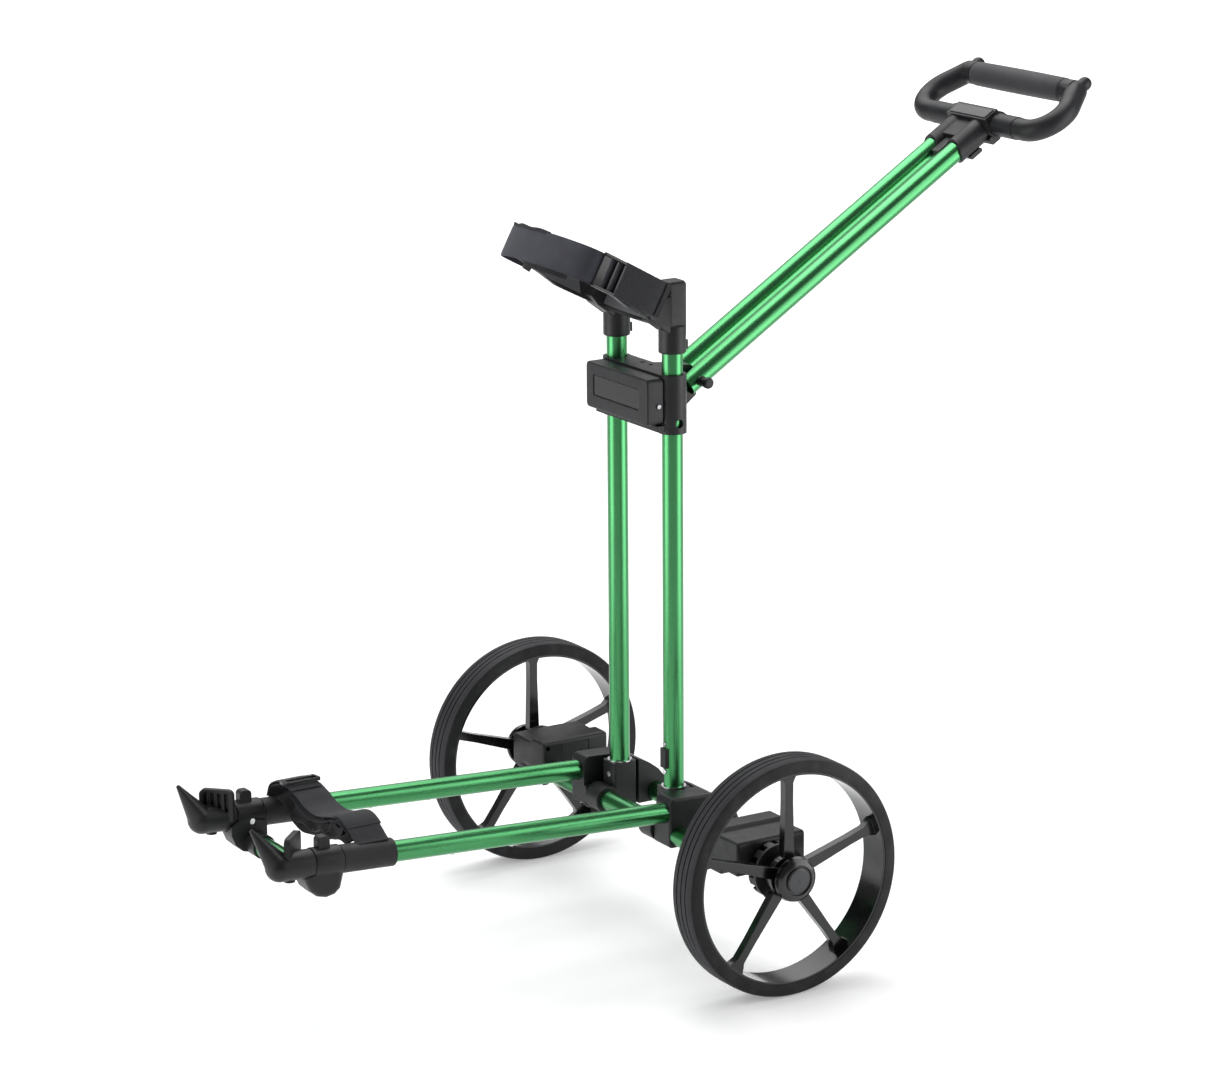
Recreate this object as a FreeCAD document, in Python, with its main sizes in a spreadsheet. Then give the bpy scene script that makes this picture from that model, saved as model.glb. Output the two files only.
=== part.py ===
import FreeCAD, Part
import math
import os
import Sketcher

# Two-wheel golf push trolley with a flat-folding tube frame.
# +X is the trolley's left, -Y is the bag end, +Y is the side of the person who pushes,
# and +Z is up with the wheels standing on z = 0.

V = FreeCAD.Vector
os.makedirs("parts", exist_ok=True)
doc = FreeCAD.newDocument("golf_push_trolley")
sheet = doc.addObject("Spreadsheet::Sheet", "Sheet")
nodes = {}


class Dim:
    """A length that knows its value and the sheet expression it comes from."""

    def __init__(self, value, text):
        self.value = float(value)
        self.text = text

    def __add__(self, other):
        o = dim(other)
        return Dim(self.value + o.value, "(" + self.text + " + " + o.text + ")")

    def __sub__(self, other):
        o = dim(other)
        return Dim(self.value - o.value, "(" + self.text + " - " + o.text + ")")

    def __mul__(self, other):
        o = dim(other)
        return Dim(self.value * o.value, "(" + self.text + " * " + o.text + ")")

    def __truediv__(self, other):
        o = dim(other)
        return Dim(self.value / o.value, "(" + self.text + " / " + o.text + ")")

    def __radd__(self, other):
        return dim(other) + self

    def __rsub__(self, other):
        return dim(other) - self

    def __rmul__(self, other):
        return dim(other) * self

    def __neg__(self):
        return Dim(-self.value, "(0 - " + self.text + ")")


def dim(value):
    if isinstance(value, Dim):
        return value
    return Dim(value, "(" + format(float(value), ".6f") + ")")


row_number = 0


def cell(alias, value):
    """One row of the sheet: a name and a plain number that other objects refer to."""
    global row_number
    row_number += 1
    sheet.set("A" + str(row_number), alias)
    sheet.set("B" + str(row_number), str(value))
    sheet.setAlias("B" + str(row_number), alias)
    return Dim(value, "Sheet." + alias)


# ---- driving dimensions, millimetres and degrees ----
tube_od = cell("tubeOuter", 25)
tube_wall = cell("tubeWall", 1.5)
wheel_dia = cell("wheelDiameter", 290)
tyre_wide = cell("tyreWidth", 42.4)
tyre_seat = cell("tyreSeatRadius", 129)
rim_inner = cell("rimInnerRadius", 126.2)
track_half = cell("trackHalf", 291)
axle_y = cell("axleY", 14.21)
col_x = cell("columnX", 62.6)
col_y = cell("columnOffsetY", -9.6)
col_foot_top = cell("columnFootTop", 193)
col_top = cell("columnTubeTop", 752)
base_x = cell("baseTubeX", 101)
base_z = cell("baseTubeHeight", 173.9)
base_rise = cell("baseRiseAngle", 3.09)
base_len = cell("baseTubeLength", 552)
pivot_y = cell("frontCrossOffset", -35)
pivot_z = cell("crossTubeHeight", 148)
rear_y = cell("rearCrossOffset", 35)
cross_half = cell("crossTubeHalf", 222)
carrier_in = cell("carrierInnerX", 186)
carrier_out = cell("carrierOuterX", 262)
block_in = cell("blockInnerX", 80)
block_out = cell("blockOuterX", 115.5)
slider_low = cell("sliderBottom", 633.5)
slider_high = cell("sliderTop", 704.7)
collar_r = cell("sliderCollarRadius", 17)
handle_x = cell("handleTubeX", 23)
handle_y = cell("handlePivotOffset", 47.8)
handle_z = cell("handlePivotHeight", 684)
handle_angle = cell("handleAngle", 32.3)
handle_len = cell("handleTubeLength", 452)
bar_s = cell("tiltAxisDistance", 510)
grip_s = cell("gripDistance", 589.4)
bar_r = cell("handleBarRadius", 14.3)
grip_r = cell("gripRadius", 15.8)
grip_half = cell("gripHalf", 91)
cradle_tilt = cell("cradleTilt", 28.5)
cradle_r = cell("cradleOuterRadius", 86)
cradle_wall = cell("cradleWall", 8)
cradle_high = cell("cradleHeight", 44)
foot_y = cell("footCrossOffset", -503)
foot_z = cell("footCrossHeight", 170)
sleeve_r = cell("sleeveRadius", 16.6)
hub_r = cell("hubCapRadius", 27.5)
stub_r = cell("stubAxleRadius", 6)
strap_wide = cell("strapWidth", 40)
doc.recompute()

tube_r = tube_od / 2
wheel_r = wheel_dia / 2
axle_z = wheel_r


def Y(offset):
    """Distance along Y measured from the wheel axle."""
    return axle_y + offset


# ---- small helpers that make bound objects ----
def bind(obj, prop, value):
    d = dim(value)
    setattr(obj, prop, d.value)
    if "Sheet" in d.text:
        obj.setExpression(prop, d.text)


def place(obj, x, y, z, rotation=None):
    turn = rotation if rotation else FreeCAD.Rotation()
    coords = (dim(x), dim(y), dim(z))
    obj.Placement = FreeCAD.Placement(V(coords[0].value, coords[1].value, coords[2].value), turn)
    for axis, d in zip("xyz", coords):
        if "Sheet" in d.text:
            obj.setExpression("Placement.Base." + axis, d.text)
    return obj


def toward(x, y, z):
    return FreeCAD.Rotation(V(0, 0, 1), V(x, y, z))


TO_X = FreeCAD.Rotation(V(0, 1, 0), 90)
TO_Y = FreeCAD.Rotation(V(1, 0, 0), -90)
counter = 0


def name_of(kind):
    global counter
    counter += 1
    return kind + str(counter)


def box(x0, x1, y0, y1, z0, z1):
    obj = doc.addObject("Part::Box", name_of("Box"))
    bind(obj, "Length", dim(x1) - x0)
    bind(obj, "Width", dim(y1) - y0)
    bind(obj, "Height", dim(z1) - z0)
    return place(obj, x0, y0, z0)


def cyl(radius, length, x, y, z, rotation=None):
    obj = doc.addObject("Part::Cylinder", name_of("Cylinder"))
    bind(obj, "Radius", radius)
    bind(obj, "Height", length)
    return place(obj, x, y, z, rotation)


def cone(radius1, radius2, length, x, y, z, rotation=None):
    obj = doc.addObject("Part::Cone", name_of("Cone"))
    bind(obj, "Radius1", radius1)
    bind(obj, "Radius2", radius2)
    bind(obj, "Height", length)
    return place(obj, x, y, z, rotation)


def ball(radius, x, y, z):
    obj = doc.addObject("Part::Sphere", name_of("Ball"))
    bind(obj, "Radius", radius)
    return place(obj, x, y, z)


def fuse(*parts):
    obj = doc.addObject("Part::MultiFuse", name_of("Fuse"))
    obj.Shapes = list(parts)
    obj.Refine = True
    return obj


def cut(base, *tools):
    tool = tools[0] if len(tools) == 1 else fuse(*tools)
    obj = doc.addObject("Part::Cut", name_of("Cut"))
    obj.Base = base
    obj.Tool = tool
    obj.Refine = True
    return obj


def round_edges(base, radius, pick):
    """Fillet the edges that pick accepts."""
    doc.recompute()
    chosen = []
    for number, edge in enumerate(base.Shape.Edges, 1):
        if pick(edge):
            chosen.append((number, radius, radius))
    if not chosen:
        raise RuntimeError("no edge picked on " + base.Name)
    obj = doc.addObject("Part::Fillet", name_of("Fillet"))
    obj.Base = base
    obj.Edges = chosen
    return obj


def straight(edge, axis):
    """True for a straight edge along one axis."""
    a = edge.Vertexes[0].Point
    b = edge.Vertexes[-1].Point
    d = b - a
    if d.Length < 1e-6 or abs(d.Length - edge.Length) > 1e-4:
        return False
    return abs(d[axis]) > 0.999 * d.Length


def mirror(source):
    obj = doc.addObject("Part::Mirroring", name_of("Mirror"))
    obj.Source = source
    obj.Base = V(0, 0, 0)
    obj.Normal = V(1, 0, 0)
    return obj


def group(*parts):
    obj = doc.addObject("Part::Compound", name_of("Group"))
    obj.Links = list(parts)
    return obj


def keep(label, obj):
    obj.Label = label
    nodes[label] = obj
    return obj


def keep_pair(label, obj):
    keep(label + "_left", obj)
    keep(label + "_right", mirror(obj))


def plane(body, role):
    for feature in body.Origin.OriginFeatures:
        if feature.Role == role:
            return feature
    raise RuntimeError("no plane " + role)


def sketch_on(body, role):
    sk = body.newObject("Sketcher::SketchObject", name_of("Sketch"))
    sk.AttachmentSupport = [(plane(body, role), "")]
    sk.MapMode = "FlatFace"
    return sk


def ring_sketch(body, role, outer, inner=None):
    sk = sketch_on(body, role)
    for radius in [r for r in (outer, inner) if r is not None]:
        r = dim(radius)
        number = sk.addGeometry(Part.Circle(V(0, 0, 0), V(0, 0, 1), r.value), False)
        sk.addConstraint(Sketcher.Constraint("Coincident", number, 3, -1, 1))
        index = sk.addConstraint(Sketcher.Constraint("Radius", number, r.value))
        if "Sheet" in r.text:
            sk.setExpression("Constraints[" + str(index) + "]", r.text)
    return sk


def outline_sketch(body, role, points):
    """A closed outline whose corners are all held by bound distances from the origin."""
    sk = sketch_on(body, role)
    pts = [(dim(a), dim(b)) for a, b in points]
    count = len(pts)
    for i in range(count):
        a = pts[i]
        b = pts[(i + 1) % count]
        line = Part.LineSegment(V(a[0].value, a[1].value, 0), V(b[0].value, b[1].value, 0))
        sk.addGeometry(line, False)
    for i in range(count):
        sk.addConstraint(Sketcher.Constraint("Coincident", i, 2, (i + 1) % count, 1))
    for i in range(count):
        for kind, d in (("DistanceX", pts[i][0]), ("DistanceY", pts[i][1])):
            index = sk.addConstraint(Sketcher.Constraint(kind, -1, 1, i, 1, d.value))
            if "Sheet" in d.text:
                sk.setExpression("Constraints[" + str(index) + "]", d.text)
    return sk


def pad(body, sk, length, centred=True):
    obj = body.newObject("PartDesign::Pad", name_of("Pad"))
    obj.Profile = sk
    bind(obj, "Length", length)
    if centred:
        if hasattr(obj, "SideType"):
            obj.SideType = "Symmetric"
        else:
            obj.Midplane = True
    body.Tip = obj
    return obj


def new_body(title):
    return doc.addObject("PartDesign::Body", name_of(title))


def tube(title, length, x, y, z, rotation=None):
    """A round drawn tube that starts at the given point."""
    body = new_body(title)
    sk = ring_sketch(body, "XY_Plane", tube_r, tube_r - tube_wall)
    pad(body, sk, length, False)
    return place(body, x, y, z, rotation)


def slab_x(title, points, x0, x1):
    """A plate with an outline in the YZ plane, between two X positions."""
    body = new_body(title)
    sk = outline_sketch(body, "YZ_Plane", points)
    pad(body, sk, dim(x1) - x0, True)
    return place(body, (dim(x0) + x1) / 2, 0, 0)


def slab_y(title, points, y0, y1):
    """A plate with an outline in the XZ plane, between two Y positions."""
    body = new_body(title)
    sk = outline_sketch(body, "XZ_Plane", points)
    pad(body, sk, dim(y1) - y0, True)
    return place(body, 0, (dim(y0) + y1) / 2, 0)


def spin_x(title, points, x, y, z):
    """A ring turned about an axis along X; points are (x, radius)."""
    body = new_body(title)
    sk = outline_sketch(body, "XY_Plane", points)
    obj = body.newObject("PartDesign::Revolution", name_of("Revolution"))
    obj.Profile = sk
    obj.ReferenceAxis = (sk, ["H_Axis"])
    obj.Angle = 360
    body.Tip = obj
    return place(body, x, y, z)


# ---- wheels ----
half = tyre_wide / 2
groove = []
for centre in (-9, 0, 9):
    groove += [(centre - 0.9, wheel_r), (centre - 0.9, wheel_r - 1.3)]
    groove += [(centre + 0.9, wheel_r - 1.3), (centre + 0.9, wheel_r)]
tyre_points = [(-half, tyre_seat), (-half, wheel_r - 5), (-half + 1.6, wheel_r - 1.9)]
tyre_points += [(-half + 5, wheel_r - 0.3)] + groove
tyre_points += [(half - 5, wheel_r - 0.3), (half - 1.6, wheel_r - 1.9), (half, wheel_r - 5)]
tyre_points += [(half, tyre_seat)]
keep_pair("tyre", spin_x("Tyre", tyre_points, track_half, Y(0), axle_z))

rim_side = half - 0.6
rim_ring = spin_x("Rim", [(-rim_side, rim_inner), (-rim_side, tyre_seat), (rim_side, tyre_seat),
                          (rim_side, rim_inner)], track_half, Y(0), axle_z)
hub_barrel = cyl(19, 38, track_half - 21, Y(0), axle_z, TO_X)
hub_flange = cyl(25, 12, track_half - 4, Y(0), axle_z, TO_X)
spoke_x = track_half + 3
spokes = []
for number in range(5):
    turn = math.radians(90 + 72 * number)
    body = new_body("Spoke")
    sk = outline_sketch(body, "XY_Plane", [(15, -7.5), (90, -5.2), (114, -5.4), (127.5, -12),
                                           (127.5, 12), (114, 5.4), (90, 5.2), (15, 7.5)])
    pad(body, sk, 11, True)
    along = V(0, math.cos(turn), math.sin(turn))
    side = V(0, -math.sin(turn), math.cos(turn))
    axis = V(1, 0, 0)
    turned = FreeCAD.Rotation(along, side, axis, "ZXY")
    place(body, spoke_x, Y(0), axle_z, turned)
    spokes.append(body)
hub_bore = cyl(stub_r + 0.05, 60, track_half - 30, Y(0), axle_z, TO_X)
rim = cut(fuse(rim_ring, hub_barrel, hub_flange, *spokes), hub_bore)
keep_pair("rim", rim)

cap_points = [(0, 0), (0, hub_r - 1), (3, hub_r), (8, hub_r - 1.5), (10.5, hub_r - 5),
              (11.5, hub_r - 9), (9.6, hub_r - 10), (9.6, 0)]
cap = spin_x("Cap", cap_points, track_half + 17.2, Y(0), axle_z)
keep_pair("hub_cap", cap)
badge = spin_x("Badge", [(0, 0), (0, 15.2), (1.8, 15.2), (3, 13.6), (3.4, 0)],
               track_half + 26.9, Y(0), axle_z)
keep_pair("hub_badge", badge)

# ring of castellations on the inner end of the hub, which the parking catch drops into
ring = spin_x("LockRing", [(0, 19.2), (0, 33.5), (15.5, 33.5), (15.5, 19.2)], track_half - 27.5,
              Y(0), axle_z)
slots = []
for number in range(12):
    notch = box(0, 12, 0, 7.2, 0, 9)
    turn = FreeCAD.Rotation(V(1, 0, 0), 30 * number)
    corner = turn.multVec(V(0, -3.6, 25.5))
    place(notch, track_half - 28.5, Y(corner.y), axle_z + corner.z, turn)
    slots.append(notch)
keep_pair("lock_ring", cut(ring, *slots))

# ---- chassis: cross tubes, base tubes, wheel carriers ----
cross_front = tube("CrossFront", cross_half * 2, -cross_half, Y(pivot_y), pivot_z, TO_X)
keep("cross_tube_front", cross_front)
cross_rear = tube("CrossRear", cross_half * 2, -cross_half, Y(rear_y), pivot_z, TO_X)
keep("cross_tube_rear", cross_rear)

rise = math.radians(base_rise.value)
forward = V(0, -math.cos(rise), math.sin(rise))
AHEAD = toward(forward.x, forward.y, forward.z)


def on_base(q, up=0.0):
    """A point at distance q forward along the base tube, and up square to it."""
    y = Y(col_y) - q * math.cos(rise) + up * math.sin(rise)
    z = base_z + q * math.sin(rise) + up * math.cos(rise)
    return y, z


y0, z0 = on_base(0)
keep_pair("base_tube", tube("BaseTube", base_len, base_x, y0, z0, AHEAD))

low_z = pivot_z - 14.5
profile = [(carrier_in, low_z), (carrier_in + 38, low_z), (carrier_in + 44, low_z + 7),
           (carrier_out, low_z + 7), (carrier_out, 183), (carrier_in + 34, 182),
           (carrier_in + 27, 187), (carrier_in, 187)]
shell = round_edges(slab_y("Carrier", profile, Y(-47.6), Y(48)), 5.0,
                    lambda e: straight(e, 1))
shell = round_edges(shell, 3.5, lambda e: e.BoundBox.YMax < axle_y.value - 47.5
                    or e.BoundBox.YMin > axle_y.value + 47.9)
hub_socket = cyl(24, 20, carrier_out - 16, Y(0), axle_z, TO_X)
bores = [cyl(tube_r, 60, carrier_in - 5, Y(o), pivot_z, TO_X) for o in (pivot_y, rear_y)]
stub_hole = cyl(stub_r, 60, carrier_in + 20, Y(0), axle_z, TO_X)
panel_pocket = box(carrier_in - 1, carrier_in + 3.5, Y(-20), Y(20), 157.6, 181.4)
lock_hole = cyl(3.2, 14, carrier_in - 2, Y(-40), 178.5, TO_X)
carrier = cut(shell, hub_socket, stub_hole, panel_pocket, lock_hole, *bores)
panel = round_edges(box(carrier_in + 0.5, carrier_in + 3.5, Y(-19.6), Y(19.6), 158, 181), 2.0,
                    lambda e: straight(e, 0))
keep("carrier_panels", group(panel, mirror(panel)))
stub_body = cyl(stub_r, 85, carrier_in + 20, Y(0), axle_z, TO_X)
keep("stub_axles", group(stub_body, mirror(stub_body)))

# parking catch under each carrier, which swings up into the castellations
lever = slab_y("Lever", [(246, 134.6), (252, 135.3), (258.5, 124), (258.5, 108), (252, 112),
                         (246, 127)], Y(-7), Y(7))
finger = slab_y("Finger", [(254, 116), (261, 109), (264, 108.5), (265.5, 109.6), (270, 109.6),
                           (271.5, 104), (262, 102.5), (254, 108)], Y(-2.9), Y(2.9))
catch = fuse(lever, finger)
catch_eye = cyl(4.6, 14, 245, Y(-7), 131.2, TO_Y)
catch_hole = cyl(2.05, 20, 245, Y(-10), 131.2, TO_Y)
keep_pair("park_catch", cut(fuse(catch, catch_eye), catch_hole))
ears = []
for side in (-11.2, 7.3):
    ear = slab_y("Ear", [(239, 144), (251, 144), (251, 130), (248, 126), (242, 126), (239, 130)],
                 Y(side), Y(side + 3.9))
    ears.append(ear)
ear_pin = cyl(2, 22.4, 245, Y(-11.2), 131.2, TO_Y)
keep_pair("wheel_carrier", cut(fuse(carrier, *ears), cyl(2, 30, 245, Y(-15), 131.2, TO_Y)))
keep("catch_pins", group(ear_pin, mirror(ear_pin)))

# ---- joint blocks ----
block_profile = [(Y(-48.5), 133.5), (Y(-48.5), 189), (Y(-43), 196), (Y(12), 193), (Y(26), 186),
                 (Y(38), 177), (Y(48), 165), (Y(52), 154), (Y(52), 142), (Y(48), 133.5)]
block_main = round_edges(slab_x("Block", block_profile, block_in, block_out), 5.0,
                         lambda e: straight(e, 0))
block_main = round_edges(block_main, 3.5, lambda e: e.BoundBox.XMin > block_out.value - 0.01)
wing_profile = [(Y(9.5), 136), (Y(9.5), 193), (Y(12), 193), (Y(26), 186), (Y(38), 177),
                (Y(48), 165), (Y(52), 154), (Y(52), 142), (Y(48), 136)]
wing = slab_x("Wing", wing_profile, 49, block_in + 1)
base_socket = cyl(tube_r, 70, base_x, Y(col_y), base_z, AHEAD)
block_bores = [cyl(tube_r, 90, 40, Y(o), pivot_z, TO_X) for o in (pivot_y, rear_y)]
nose = box(block_in - 1, block_in + 4.5, Y(-60), Y(-6), 160, 200)
block = cut(fuse(block_main, wing), base_socket, nose, *block_bores)
keep_pair("joint_block", block)

# ---- front end: sleeves, collars, feet, hooks ----
def along_base(q, radius, length, up=0.0):
    y, z = on_base(q, up)
    return cyl(radius, length, base_x, y, z, AHEAD)


base_bore = along_base(380, tube_r, 240)
sleeve = cut(along_base(411, sleeve_r, 68), base_bore)
keep("grip_sleeves", group(sleeve, mirror(sleeve)))

collar_body = round_edges(along_base(479.6, 18, 36.4), 1.8, lambda e: e.Length > 60)
tab_y, tab_z = on_base(500)
tab = round_edges(box(base_x - 7, base_x + 5, tab_y - 7.5, tab_y + 7.5, tab_z + 8, 232), 5.0,
                  lambda e: straight(e, 0) and e.BoundBox.ZMin > 228)
bulb = slab_x("Foot", [(Y(-488.6), 196), (Y(-488.6), 177), (Y(-491), 168), (Y(-499), 161.5),
                       (Y(-510), 159.5), (Y(-521), 162.5), (Y(-530), 171), (Y(-535), 183),
                       (Y(-535), 194), (Y(-522), 202)], 80.6, 115)
bulb = round_edges(bulb, 9.0, lambda e: abs(e.Vertexes[0].X - e.Vertexes[-1].X) < 1e-3
                   and e.Vertexes[0].X > 100 and e.BoundBox.ZMax < 195)
foot_arm = cyl(14.6, 22, 60, Y(foot_y), foot_z, TO_X)
foot_bore = cyl(tube_r, 60, 40, Y(foot_y), foot_z, TO_X)
screw_y, screw_z = on_base(498)
screw_pocket = cyl(3.7, 12, base_x - 29.6, screw_y, screw_z - 4, TO_X)
foot = cut(fuse(collar_body, tab, bulb, foot_arm), foot_bore, along_base(380, tube_r, 240),
           along_base(516.2, 17.4, 60), along_base(400, 17.2, 79.4), screw_pocket)
keep_pair("front_foot", foot)
keep("cross_tube_foot", tube("FootTube", 180, -90, Y(foot_y), foot_z, TO_X))

hook_y, hook_z = on_base(555)
sock = along_base(516.4, 17, 38.6)
elbow = ball(17, base_x, hook_y, hook_z)
tip = V(-5, -31, 47)
spike = cone(16.4, 2.6, tip.Length, base_x, hook_y, hook_z, toward(tip.x, tip.y, tip.z))
tip_ball = ball(2.6, base_x + tip.x, hook_y + tip.y, hook_z + tip.z)
pad_turn = FreeCAD.Rotation(V(0, 0, 1), -45)
pad_x = 97.7
rib_block = box(0, 42, 0, 7, 0, 38)
corner = pad_turn.multVec(V(-21, -3.5, 0))
place(rib_block, pad_x + corner.x, Y(-545 + corner.y), 201, pad_turn)
rib_block = round_edges(rib_block, 7.0,
                        lambda e: e.BoundBox.ZMin > 238 and e.Length < 10)
slits = []
for number in range(4):
    slit = box(0, 4.6, 0, 5.4, 0, 23)
    corner = pad_turn.multVec(V(-15 + 8.6 * number, -4.5, 0))
    place(slit, pad_x + corner.x, Y(-545 + corner.y), 212, pad_turn)
    slits.append(slit)
hook = cut(fuse(sock, elbow, spike, tip_ball), along_base(380, tube_r, base_len - 380))
pads = cut(rib_block, *slits, along_base(380, tube_r + 0.02, base_len - 380))
keep_pair("bag_hook", fuse(hook, pads))

# ---- folding column pair ----
foot_box = round_edges(box(48.5, 76.7, Y(-26), Y(6.6), 134, col_foot_top), 3.0,
                       lambda e: straight(e, 2))
knuckle = cyl(17, 28.2, 48.5, Y(pivot_y), pivot_z, TO_X)
web = box(48.5, 76.7, Y(-36), Y(-20), 134, 160)
pivot_hole = cyl(tube_r + 0.06, 50, 40, Y(pivot_y), pivot_z, TO_X)
column_hole = cyl(tube_r, 80, col_x, Y(col_y), 158)
foot_block = cut(fuse(foot_box, knuckle, web), pivot_hole, column_hole)
keep_pair("column_foot", foot_block)
column = tube("Column", col_top - 158, col_x, Y(col_y), 158)
keep_pair("column", column)
trim = cut(cyl(15.2, 1.4, col_x, Y(col_y), col_foot_top), cyl(tube_r, 9, col_x, Y(col_y), 190))
keep("column_washers", group(trim, mirror(trim)))
bumper = round_edges(box(col_x - 6.5, col_x + 6.5, Y(-25.4), Y(-15), 218.5, 242.5), 1.6,
                     lambda e: straight(e, 2) and e.BoundBox.YMin < axle_y.value - 25)
bumper = cut(bumper, cyl(tube_r, 60, col_x, Y(col_y), 200))
keep("column_bumper", bumper)
rivets = []
for height in (213, 248):
    rivets.append(cyl(3.2, 1.6, col_x, Y(-23.4), height, TO_Y))
keep("bumper_rivets", cut(group(*rivets), cyl(tube_r, 60, col_x, Y(col_y), 200)))

# ---- bag cradle on top of the columns ----
tilt = math.radians(cradle_tilt.value)
CR = FreeCAD.Rotation(V(1, 0, 0), V(0, -math.cos(tilt), math.sin(tilt)),
                      V(0, -math.sin(tilt), -math.cos(tilt)), "XYZ")


def cradle_band(radius, wall, reach, flare, height, low):
    """A U-shaped band whose round back lies by the columns and whose arms reach forward."""
    body = new_body("Band")
    sk = sketch_on(body, "XY_Plane")
    outer = radius
    inner = radius - wall
    mid = cradle_r.value - 6
    p = [V(-outer, mid, 0), V(outer, mid, 0), V(outer + flare, reach, 0),
         V(inner + flare, reach, 0), V(inner, mid, 0), V(-inner, mid, 0),
         V(-inner - flare, reach, 0), V(-outer - flare, reach, 0)]
    sk.addGeometry(Part.Arc(p[0], V(0, mid - outer, 0), p[1]), False)
    sk.addGeometry(Part.LineSegment(p[1], p[2]), False)
    sk.addGeometry(Part.LineSegment(p[2], p[3]), False)
    sk.addGeometry(Part.LineSegment(p[3], p[4]), False)
    sk.addGeometry(Part.Arc(p[4], V(0, mid - inner, 0), p[5]), False)
    sk.addGeometry(Part.LineSegment(p[5], p[6]), False)
    sk.addGeometry(Part.LineSegment(p[6], p[7]), False)
    sk.addGeometry(Part.LineSegment(p[7], p[0]), False)
    pad(body, sk, height, True)
    shift = CR.multVec(V(0, 0, low))
    place(body, shift.x, Y(-4 + shift.y), 786 + shift.z, CR)
    return body


taper = slab_x("Taper", [(40, 37.5), (60, 32.5), (100, 25.5), (170, 17.0), (170, 90), (40, 90)],
               -120, 120)
place(taper, 0, Y(-4), 786, CR)
back_trim = slab_x("BackTrim", [(-20, 42.5), (40, 37.5), (40, 90), (-20, 90)], -120, 120)
place(back_trim, 0, Y(-4), 786, CR)
full_band = cradle_band(cradle_r.value, cradle_wall.value, 146, 3, cradle_high, 8)
yoke_band = cut(full_band, taper, back_trim)
posts = []
for side in (1, -1):
    post = round_edges(box(side * col_x - 13, side * col_x + 13, Y(-23.5), Y(4.6), 752, 817.5),
                       6.0, lambda e: straight(e, 2) or e.BoundBox.ZMin > 816)
    cup = round_edges(cyl(16.4, 34, side * col_x, Y(col_y), 730), 2.0, lambda e: e.Length > 60)
    gusset = slab_x("Gusset", [(Y(-10), 757), (Y(-23), 757), (Y(-43), 772), (Y(-52), 784),
                               (Y(-40), 795), (Y(-10), 802)], side * col_x - 12.8,
                    side * col_x + 12.8)
    posts += [post, cup, gusset, box(side * col_x - 4, side * col_x + 4, Y(4), Y(10.2), 733, 744)]
bore_tops = [cyl(tube_r, col_top - 725, side * col_x, Y(col_y), 725) for side in (1, -1)]
keep("cradle_yoke", cut(fuse(yoke_band, *posts), *bore_tops))
liner = cradle_band(cradle_r.value - cradle_wall.value, 3, 142, 3, 36, 8)
post_room = [box(side * col_x - 14, side * col_x + 14, Y(-57), Y(8), 728, 830)
             for side in (1, -1)]
keep("cradle_liner", cut(liner, full_band, taper, back_trim, *post_room))

# ---- slider that carries the handle ----
slide_gap = 0.06
mid_z = (slider_low + slider_high) / 2
hoops = [cyl(collar_r, slider_high - slider_low, side * col_x, Y(col_y), slider_low)
         for side in (1, -1)]
bridge = box(-col_x, col_x, Y(-27), Y(6), slider_low + 4, slider_high)
tongue = slab_x("Tongue", [(Y(3), 640), (Y(40), 648), (Y(57), 661), (Y(60), 678), (Y(58), 692),
                           (Y(50), 699), (Y(3), 704)], -10.2, 10.2)
front_lip = box(-70, 70, Y(-35), Y(-24), slider_low + 4, slider_low + 11)
slide_holes = [cyl(tube_r + slide_gap, 120, side * col_x, Y(col_y), 610) for side in (1, -1)]
pin_bore = cyl(5.05, 40, -20, Y(handle_y), handle_z, TO_X)
lock_bore = cyl(5, 20, col_x + 6, Y(-10), 646.5, TO_X)
top_slots = [box(x, x + 5, Y(-8), Y(-2), slider_high - 4, slider_high + 1) for x in (-14, 4)]
core = cut(fuse(bridge, tongue, front_lip, *hoops), pin_bore, lock_bore, *(slide_holes + top_slots))
keep("slider_body", core)
cover = round_edges(box(-69.8, 69.8, Y(-49.2), Y(-27), 645.6, 702), 6.0,
                    lambda e: straight(e, 1))
cover = round_edges(cover, 2.2, lambda e: e.BoundBox.YMax < axle_y.value - 49.1)
window = round_edges(box(-53, 51, Y(-50), Y(-47.4), 662, 688), 3.0, lambda e: straight(e, 1))
cover = cut(cover, window, *[cyl(collar_r, 90, side * col_x, Y(col_y), 630) for side in (1, -1)])
keep("slider_cover", cover)
label = round_edges(box(-52.2, 50.2, Y(-48.4), Y(-47.4), 662.8, 687.2), 2.4,
                    lambda e: straight(e, 1))
keep("slider_label", label)
cover_screws = []
for side in (1, -1):
    start = 69.8 if side > 0 else -71.6
    cover_screws.append(cyl(2.6, 1.8, start, Y(-33.5), 668.5, TO_X))
keep("cover_screws", group(*cover_screws))

# ---- handle ----
turn = math.radians(handle_angle.value)
UP_S = V(0, math.cos(turn), math.sin(turn))
UP_N = V(0, -math.sin(turn), math.cos(turn))
HR = FreeCAD.Rotation(V(1, 0, 0), UP_S, UP_N, "XYZ")


def on_handle(along, across=0.0):
    """A point at distance along the handle tubes from the pivot, and across square to them."""
    y = Y(handle_y) + along * math.cos(turn) - across * math.sin(turn)
    z = handle_z + along * math.sin(turn) + across * math.cos(turn)
    return y, z


def hbox(x0, x1, s0, s1, n0, n1):
    obj = doc.addObject("Part::Box", name_of("Box"))
    bind(obj, "Length", dim(x1) - x0)
    bind(obj, "Width", dim(s1) - s0)
    bind(obj, "Height", dim(n1) - n0)
    y, z = on_handle(dim(s0), dim(n0).value)
    return place(obj, x0, y, z, HR)


def hcyl(radius, length, x, along, across=0.0):
    y, z = on_handle(dim(along), across)
    return cyl(radius, length, x, y, z, TO_X)


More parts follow.
